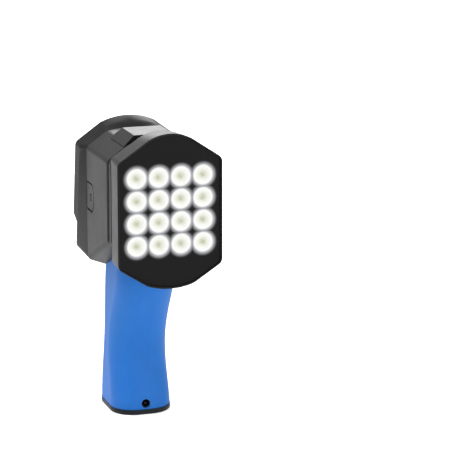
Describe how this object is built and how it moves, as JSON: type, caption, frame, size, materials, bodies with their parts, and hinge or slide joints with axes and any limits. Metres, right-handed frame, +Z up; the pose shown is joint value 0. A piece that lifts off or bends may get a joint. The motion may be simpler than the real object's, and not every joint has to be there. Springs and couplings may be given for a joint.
{
  "type": "hand-held stroboscope",
  "caption": "Pistol-grip light-emitting-diode stroboscope with a square lens face, a hooded rear display with keys, a soft grip sleeve and a tripod bush under the grip.",
  "frame": {"origin": "mouth of the tripod bush in the underside of the grip's bottom cap", "axes": "+Z up from the cap to the head, -Y the way the lens face looks, +X to the right as seen from in front of the lens face"},
  "size_m": [0.082, 0.1273, 0.2352],
  "materials": {
    "housing": "fine matte moulded texture, dark grey",
    "plate": "matte black",
    "lens": "clear moulded plastic",
    "lamp_board": "white solder mask on metal",
    "emitter": "yellow phosphor",
    "steel": "plain zinc plated",
    "sink": "plain extruded",
    "board": "green circuit board",
    "capacitor": "sleeved cans",
    "panel": "matte, darker than the housing",
    "window": "clear flat window",
    "lcd": "grey liquid-crystal panel",
    "frame": "matte black",
    "switch": "matte black",
    "key": "matte grey rubber",
    "sleeve": "soft matte blue",
    "cap": "matte black",
    "brass": "turned",
    "socket": "matte black",
    "cell": "shrink-wrapped"
  },
  "bodies": {
    "lamp": {"front_housing": "housing", "led_plate": "plate", "led_lens_01": "lens", "led_lens_02": "lens", "led_lens_03": "lens", "led_lens_04": "lens", "led_lens_05": "lens", "led_lens_06": "lens", "led_lens_07": "lens", "led_lens_08": "lens", "led_lens_09": "lens", "led_lens_10": "lens", "led_lens_11": "lens", "led_lens_12": "lens", "led_lens_13": "lens", "led_lens_14": "lens", "led_lens_15": "lens", "led_lens_16": "lens", "led_board": "lamp_board", "led_emitters": "emitter", "led_board_screws": "steel", "heat_sink": "sink", "driver_board": "board", "driver_parts": "capacitor", "housing_left": "housing", "housing_right": "housing", "top_cover": "housing", "rear_housing": "housing", "face_panel": "panel", "display_window": "window", "lcd_module": "lcd", "display_board": "board", "display_screws": "steel", "key_frame": "frame", "key_switches": "switch", "grip_sleeve": "sleeve", "bottom_cap": "cap", "tripod_bush": "brass", "cap_screws": "steel", "grip_screws": "steel", "charge_socket": "socket", "battery_cell_front": "cell", "battery_cell_rear": "cell", "battery_holder": "frame", "battery_strips": "steel", "front_lug_screw": "steel", "rear_lug_screw": "steel"},
    "power_key": {"power_key": "key"},
    "mode_key": {"mode_key": "key"},
    "raise_key": {"raise_key": "key"},
    "lower_key": {"lower_key": "key"},
    "multiply_key": {"multiply_key": "key"},
    "pulse_key": {"pulse_key": "key"}
  },
  "joints": [
    {"name": "power_key_press", "type": "slide", "parent": "lamp", "child": "power_key", "axis": [0, -0.9903, -0.1392], "range_m": [0, 0.0008], "stiffness_N_per_m": 1000},
    {"name": "mode_key_press", "type": "slide", "parent": "lamp", "child": "mode_key", "axis": [0, -0.9903, -0.1392], "range_m": [0, 0.0008], "stiffness_N_per_m": 1000},
    {"name": "raise_key_press", "type": "slide", "parent": "lamp", "child": "raise_key", "axis": [0, -0.9903, -0.1392], "range_m": [0, 0.0008], "stiffness_N_per_m": 1000},
    {"name": "lower_key_press", "type": "slide", "parent": "lamp", "child": "lower_key", "axis": [0, -0.9903, -0.1392], "range_m": [0, 0.0008], "stiffness_N_per_m": 1000},
    {"name": "multiply_key_press", "type": "slide", "parent": "lamp", "child": "multiply_key", "axis": [0, -0.9903, -0.1392], "range_m": [0, 0.0008], "stiffness_N_per_m": 1000},
    {"name": "pulse_key_press", "type": "slide", "parent": "lamp", "child": "pulse_key", "axis": [0, -0.9903, -0.1392], "range_m": [0, 0.0008], "stiffness_N_per_m": 1000}
  ]
}
